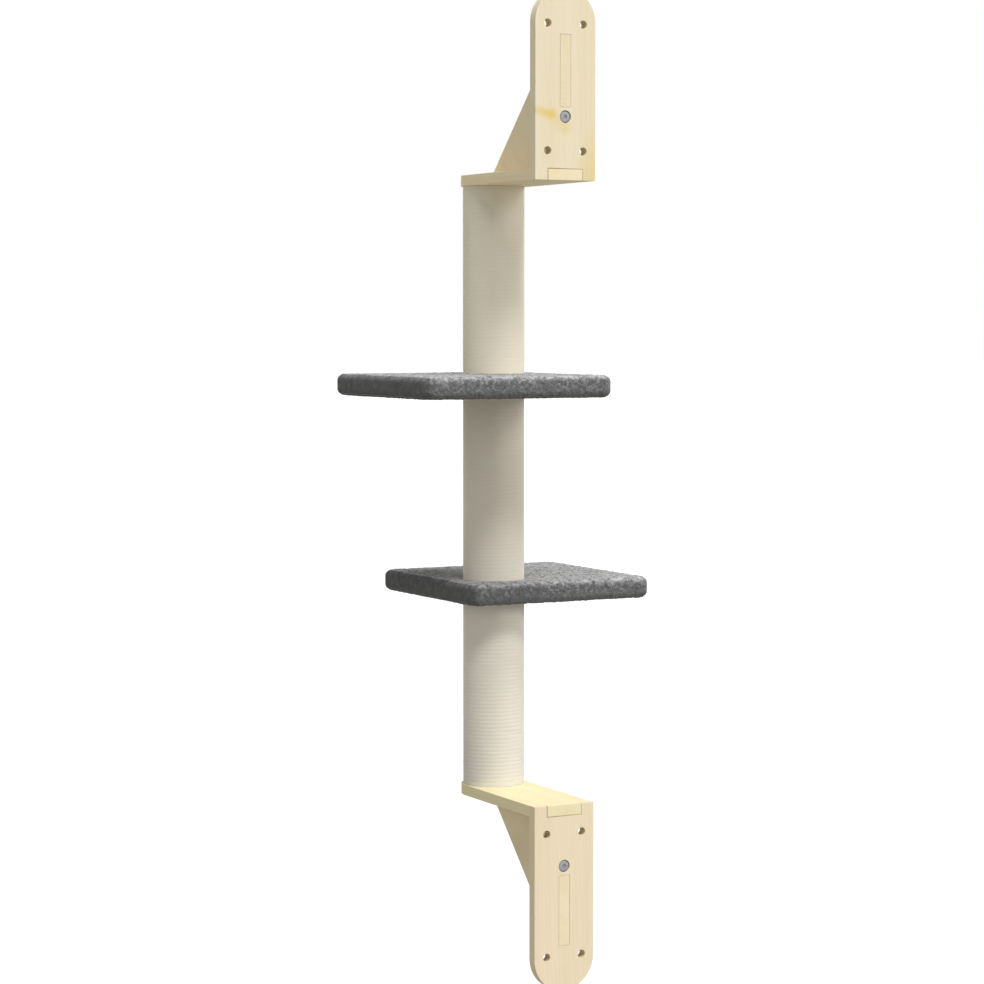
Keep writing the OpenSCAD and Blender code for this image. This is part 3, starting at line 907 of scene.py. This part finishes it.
def cover(name, centre, seed):
    """One plush cover: its pile outside, the board's space inside and the hole for the stud."""
    outer, outer_quads = slab_surface(0.0, PILE_GRID)
    lift = tufts(outer, seed)[0] * TUFT_HEIGHT * (1 - COMBED_SHARE * lying(outer)) + PILE_STAND
    lift *= pressed(outer, centre)
    skin = outer + slope(outer) * lift[:, None]
    inner, inner_quads = slab_surface(COVER_THICKNESS, LINING_GRID)
    mesh = bpy.data.meshes.new(name)
    faces = outer_quads.tolist() + (inner_quads[:, ::-1] + len(outer)).tolist()
    mesh.from_pydata(np.concatenate([skin, inner]).tolist(), [], faces)
    draft = link(bpy.data.objects.new(name, mesh))
    bm = bmesh.new()
    spot = Matrix.Translation(POST_PLACE - Vector((centre.x, centre.y, 0)))
    size = {"radius1": STUD_HOLE / 2, "radius2": STUD_HOLE / 2, "depth": 2 * SLAB.z}
    bmesh.ops.create_cone(bm, cap_ends=True, segments=48, matrix=spot, **size)
    drill = link(bpy.data.objects.new("drill", bpy.data.meshes.new("drill")))
    bm.to_mesh(drill.data)
    bm.free()
    cut = draft.modifiers.new("hole", "BOOLEAN")
    cut.operation, cut.solver, cut.object = "DIFFERENCE", "MANIFOLD", drill
    applied = draft.evaluated_get(bpy.context.evaluated_depsgraph_get())
    made = bpy.data.meshes.new_from_object(applied)
    for used in (draft, drill):
        bpy.data.objects.remove(used)
    points = np.empty(len(made.vertices) * 3)
    made.vertices.foreach_get("co", points)
    points = points.reshape(-1, 3)
    rise = slab_distance(points)
    store(made, "pile_height", np.clip(rise / TUFT_HEIGHT, 0, 1))
    store(made, "pile_tone", tufts(points - slope(points) * rise[:, None], seed)[1])
    store(made, "pile_lying", lying(points))
    # How high a point lies in the slab, which the finish uses for painted light from above
    store(made, "pile_up", np.clip(points[:, 2] / SLAB.z + 0.5, 0, 1))
    made.transform(Matrix.Translation(centre))
    return made


# %% [markdown]
# ## Grey pile
# Plush is dark where one looks between the fibres, which is painted shade, and lighter at their
# tips. The stored height of the pile mixes the two, and fine noises scatter pale tips, more of
# them higher up the slab, partly as painted light from above. Faces that look up get a pale layer
# in soft patches, partly a brushed nap and partly a painted sheen of light grazing the tops. Sheen
# adds the bright rim that standing fibres have. A bump of the same noises goes on below the size
# of the tufts.

# %% Plush finish
PILE_DEEP = (0.092, 0.092, 0.093, 1)
PILE_TIP = (0.155, 0.155, 0.157, 1)
PILE_PALE = (0.340, 0.340, 0.342, 1)
PILE_BRUSHED_AND_SHEEN = (0.570, 0.570, 0.572, 1)
PILE_LYING = (0.103, 0.103, 0.104, 1)
PILE_COMBED = (0.150, 0.150, 0.151, 1)
# How often patches, clumps and fibres of the pile repeat in a metre
PATCH_SCALE, CLUMP_SCALE, FIBRE_SCALE = 110.0, 240.0, 1000.0
SHEEN = {"Specular IOR Level": 0.03, "Sheen Weight": 0.30, "Sheen Roughness": 0.20}


def plush_finish():
    recipe = recipe_for("grey_plush")
    place = recipe.node("TexCoord", out="Object")
    facing = recipe.split(recipe.node("NewGeometry", out="Normal"))[2]
    kept = ("pile_height", "pile_tone", "pile_lying", "pile_up")
    height, tone, flat, up = [
        recipe.node("Attribute", {"attribute_name": name}, out=2) for name in kept
    ]
    clump = recipe.noise(place, CLUMP_SCALE, detail=3.0)
    fibre = recipe.noise(place, FIBRE_SCALE, detail=3.0)
    # Painted shade between the fibres: darker where the pile is low.
    depth = recipe.smooth(height + (clump - 0.5) * 0.9, 0.05, 0.70)
    colour = recipe.mix(depth, PILE_DEEP, PILE_TIP)
    pale = recipe.smooth(tone * 0.55 + (fibre - 0.5) * 1.3 + clump * 0.45, 0.48, 0.86)
    # Partly painted light from above: pale tips grow fewer lower down the slab.
    colour = recipe.mix(pale * recipe.smooth(up, 0.0, 0.9) * depth, colour, PILE_PALE)
    patch = recipe.noise(place, PATCH_SCALE)
    mottle = recipe.smooth(patch * 0.5 + fibre * 0.5, 0.36, 0.64)
    combed = recipe.mix(mottle, PILE_LYING, PILE_COMBED)
    colour = recipe.mix(flat * 0.9, colour, combed)
    # Painted sheen, partly a brushed nap: faces that look up get a pale layer in patches.
    rubbed_and_sheen_patches = recipe.smooth((clump + patch) * 0.5 + (fibre - 0.5) * 0.6, 0.37, 0.60)
    brushed_and_sheen = recipe.smooth(facing, 0.20, 0.92) * rubbed_and_sheen_patches * (1.0 - flat * 0.8)
    colour = recipe.mix(brushed_and_sheen * 0.9, colour, PILE_BRUSHED_AND_SHEEN)
    softer = (1.0 - flat * 0.7) * (1.0 - recipe.smooth(facing, 0.4, 0.9) * 0.5)
    relief = (clump + fibre * 0.4) * softer
    return recipe.surface(
        {
            "Base Color": colour,
            "Roughness": 0.95 - fibre * 0.1,
            "Normal": recipe.bump(relief, 3 * MM),
        },
        SHEEN,
    )


# %% [markdown]
# ## Two covers
# A cover replaces the plain shell of its platform and turns with it.

# %% The two covers
grey_plush = plush_finish()
for seed, level in ((11, "lower"), (12, "upper")):
    grown = cover(level + "_plush", centre_of(level + "_platform_cover"), seed)
    piece = finished(level + "_plush", grown, grey_plush, "plush", level + "_platform_cover")
    print(piece.name, len(grown.polygons), "faces")

# %% [markdown]
# ## Metals
# Zinc plate is a plain grey metal with a slightly uneven, satin skin, and the inserts in the caps
# have its yellow sister. A metal takes its look from what it mirrors, so a pattern of colour would
# hardly show: a faint cloud varies the tone, and most of the noise goes into the roughness and a
# shallow bump, which break up the gloss.

# %% Metals
def metal(name, light, dark, roughness):
    recipe = recipe_for(name)
    place = recipe.node("TexCoord", out="Object")
    cloud = recipe.noise(place, 260.0, detail=3.0)
    grit = recipe.noise(place, 3200.0)
    return recipe.surface(
        {
            "Base Color": recipe.mix(recipe.smooth(cloud, 0.3, 0.75), light, dark),
            "Roughness": cloud * 0.16 + grit * 0.06 + roughness,
            "Normal": recipe.bump(cloud * 0.6 + grit * 0.4, 0.00006, 0.5),
        },
        {"Metallic": 1.0},
    )


zinc_steel = metal("zinc_steel", (0.29, 0.29, 0.300, 1), (0.24, 0.24, 0.250, 1), 0.58)
insert_brass = metal("insert_brass", (0.74, 0.58, 0.28, 1), (0.64, 0.49, 0.22, 1), 0.26)
print("metals:", zinc_steel.name, "and", insert_brass.name)

# %% [markdown]
# ## Bolts and threaded rods
# Turned parts are stacks of rings round an axis. A ring is round, or a hexagon for the key's
# socket, or cut by a thread: a thread is a ring whose radius dips once round, and the dip moves on
# with the height. Only the heads show on the finished tree, but the threads are real, so the
# meshes can be taken apart and looked at. Heights are given from the head's side, with the shank
# pointing down.

# %% Turned parts
# Measures of turned parts are in millimetres
AROUND = 48
THREAD_PITCH = 1.25
THREAD_DEPTH = 0.55
RINGS_PER_PITCH = 8
HEX_APOTHEM = 2.5
HEX_DEPTH = 1.3


def ring(height, radius, form="round"):
    """One ring of points, its measures in millimetres."""
    angle = np.arange(AROUND) * 2 * math.pi / AROUND
    if form == "hex":
        radius = radius / np.cos(angle % (math.pi / 3) - math.pi / 6)
    elif form == "thread":
        share = (height / THREAD_PITCH - angle / (2 * math.pi)) % 1
        radius = radius - THREAD_DEPTH * np.abs(share * 2 - 1)
    parts = [radius * np.cos(angle), radius * np.sin(angle), np.full(AROUND, height)]
    return np.stack(parts, -1) * MM


def threaded(top, tip, radius=4.0):
    """Rings of a thread from its top down to its chamfered tip."""
    heights = np.arange(top, tip + 0.9, -THREAD_PITCH / RINGS_PER_PITCH)
    chamfer = [ring(tip + 0.7, radius - 0.6), ring(tip, radius - 1.0)]
    return [ring(height, radius, "thread") for height in heights] + chamfer


def socket(top):
    """Rings of the key's socket, from its floor out to its rim."""
    floor = top - HEX_DEPTH
    steps = [(floor - 0.5, 0.4), (floor, HEX_APOTHEM)]
    steps += [(top - 0.2, HEX_APOTHEM), (top, HEX_APOTHEM + 0.25)]
    return [ring(height, apothem, "hex") for height, apothem in steps]


def head_end(node, way):
    """The end of a node's box that lies this way, on the plane through the middle of the tree."""
    low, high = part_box(node)
    end = centre_of(node) + way * abs((high - low).dot(way)) / 2
    return Vector((0.0, end.y, end.z))


def turned(name, node, rings, turn):
    """A steel piece from a stack of rings, laid over a node of the frame, head end on head end."""
    points = np.array(rings)
    way = turn.col[2].to_3d()
    place = head_end(node, way) - way * float(points[..., 2].max())
    mesh = grid_mesh(name, points)
    outward(mesh)
    mesh.transform(Matrix.Translation(place) @ turn)
    piece = finished(name, mesh, zinc_steel, "zinc_steel", node)
    print(piece.name, len(mesh.polygons), "faces")


# %% [markdown]
# ## Bolts, studs and cross dowels
# A list of heights and radii is the drawing of each turned part: the button head with its dome,
# the countersunk head with its cone, and the plain rod. The hexagon of the socket goes in first,
# from its floor to its rim. Where each part lies is read from the frame, and a table says which
# drawing goes there and which way its head points. The cross dowel is right as the frame has it,
# so only its rims are broken.

# %% The bolts and studs
HEAD_TOP = 4.4
dome = [(HEAD_TOP, 3.3), (4.38, 5.2), (4.25, 6.2), (3.9, 6.9), (3.4, 7.15), (2.8, 7.2)]
dome += [(0.3, 7.2), (0, 7), (0, 4.0), (-18, 4.0)]
cone = [(0, 7.7), (-0.2, 7.8), (-4.2, 4.0), (-9, 4.0)]
round_headed = socket(HEAD_TOP) + [ring(*point) for point in dome] + threaded(-18.2, -46)
countersunk = socket(0) + [ring(*point) for point in cone] + threaded(-9.2, -27)
rod = [ring(0, 3.0), ring(-0.7, 3.4)] + threaded(-0.9, -51)

towards_wall = Matrix.Rotation(math.radians(-90), 4, "X")
head_down = Matrix.Rotation(math.radians(180), 4, "X")
upright = Matrix.Identity(4)
STEEL = (
    ("lower_gusset_bolt_turned", "lower_gusset_bolt", round_headed, towards_wall),
    ("upper_gusset_bolt_turned", "upper_gusset_bolt", round_headed, towards_wall),
    ("lower_post_bolt_turned", "lower_post_bolt", countersunk, head_down),
    ("upper_post_bolt_turned", "upper_post_bolt", countersunk, upright),
    ("lower_stud_threaded", "lower_platform_stud", rod, upright),
    ("upper_stud_threaded", "upper_platform_stud", rod, upright),
)
DOWEL_EASE = 0.2 * MM

for name, node, rings, turn in STEEL:
    turned(name, node, rings, turn)
for node in ("lower_cross_dowel", "upper_cross_dowel"):
    eased(node, node + "_eased", DOWEL_EASE, zinc_steel, "zinc_steel")

# %% [markdown]
# ## What the covers and ropes hide
# The tubes, their caps, the inserts and the platforms' boards are right as the construction has
# them, so they keep their solids and only get a finish: kraft paper wound with a slanting seam,
# dense fibreboard, pressed chips and yellow plate. They show when someone takes the tree apart.

# %% Hidden finishes
KRAFT = (0.52, 0.39, 0.25, 1)
KRAFT_DARK = (0.33, 0.24, 0.15, 1)
CARD_BAND = 105 * MM


def kraft_card():
    """Brown card wound in a band whose edge makes a seam round the tube."""
    recipe = recipe_for("kraft_card")
    place = recipe.node("TexCoord", out="Object")
    x, y, z = recipe.split(recipe.vector("SUBTRACT", place, tuple(POST_PLACE)))
    turn = y.math("ARCTAN2", x) / (2 * math.pi)
    wound = (z / CARD_BAND + turn).math("FRACT")
    seam = 1.0 - recipe.smooth((wound - 0.5).math("ABSOLUTE"), 0.004, 0.012)
    pulp = recipe.noise(place, 320.0, detail=4.0)
    fleck = recipe.smooth(recipe.noise(place, 1400.0), 0.62, 0.72)
    tone = (pulp - 0.3) * 0.9 + seam * 0.7 + fleck * 0.2
    return recipe.surface(
        {
            "Base Color": recipe.mix(tone.math("MINIMUM", 1.0), KRAFT, KRAFT_DARK),
            "Roughness": pulp * 0.1 + 0.78,
            "Normal": recipe.bump(pulp * 0.5 - seam, 0.0003, 0.6),
        }
    )


def pressed_board(name, chip_size, light, dark):
    """Board of chips or fibres pressed together, each chip in its own tone."""
    recipe = recipe_for(name)
    place = recipe.node("TexCoord", out="Object")
    shift = recipe.node("TexNoise", {}, {"Vector": place, "Scale": 90.0}, "Color")
    bent = recipe.vector("ADD", place, shift)
    chips = recipe.node("TexVoronoi", {}, {"Vector": bent, "Scale": 1 / chip_size}, "Color")
    chip = recipe.split(chips)[0]
    dust_and_foot_shade = recipe.noise(place, 1800.0, detail=3.0)
    return recipe.surface(
        {
            "Base Color": recipe.mix(chip * 0.7 + dust_and_foot_shade * 0.3, light, dark),
            "Roughness": dust_and_foot_shade * 0.12 + 0.70,
            "Normal": recipe.bump(chip * 0.6 + dust_and_foot_shade * 0.6, 0.0002, 0.5),
        }
    )


# %% [markdown]
# ## Finishing the hidden pieces
# These pieces are dressed by their names' endings, so the six caps and three tubes need no list.

# %% Hidden pieces
chipboard = pressed_board("chipboard", 3.2 * MM, (0.66, 0.52, 0.34, 1), (0.38, 0.27, 0.15, 1))
fibreboard = pressed_board("fibreboard", 0.7 * MM, (0.56, 0.42, 0.27, 1), (0.44, 0.32, 0.20, 1))
finishes = {
    "_tube": kraft_card(),
    "_cap": fibreboard,
    "_platform_board": chipboard,
    "_inserts": insert_brass,
}
for name, node in nodes.items():
    for ending, finish in finishes.items():
        if name.endswith(ending):
            for held in node.material_slots:
                held.material = finish
            print(name, "gets", finish.name)
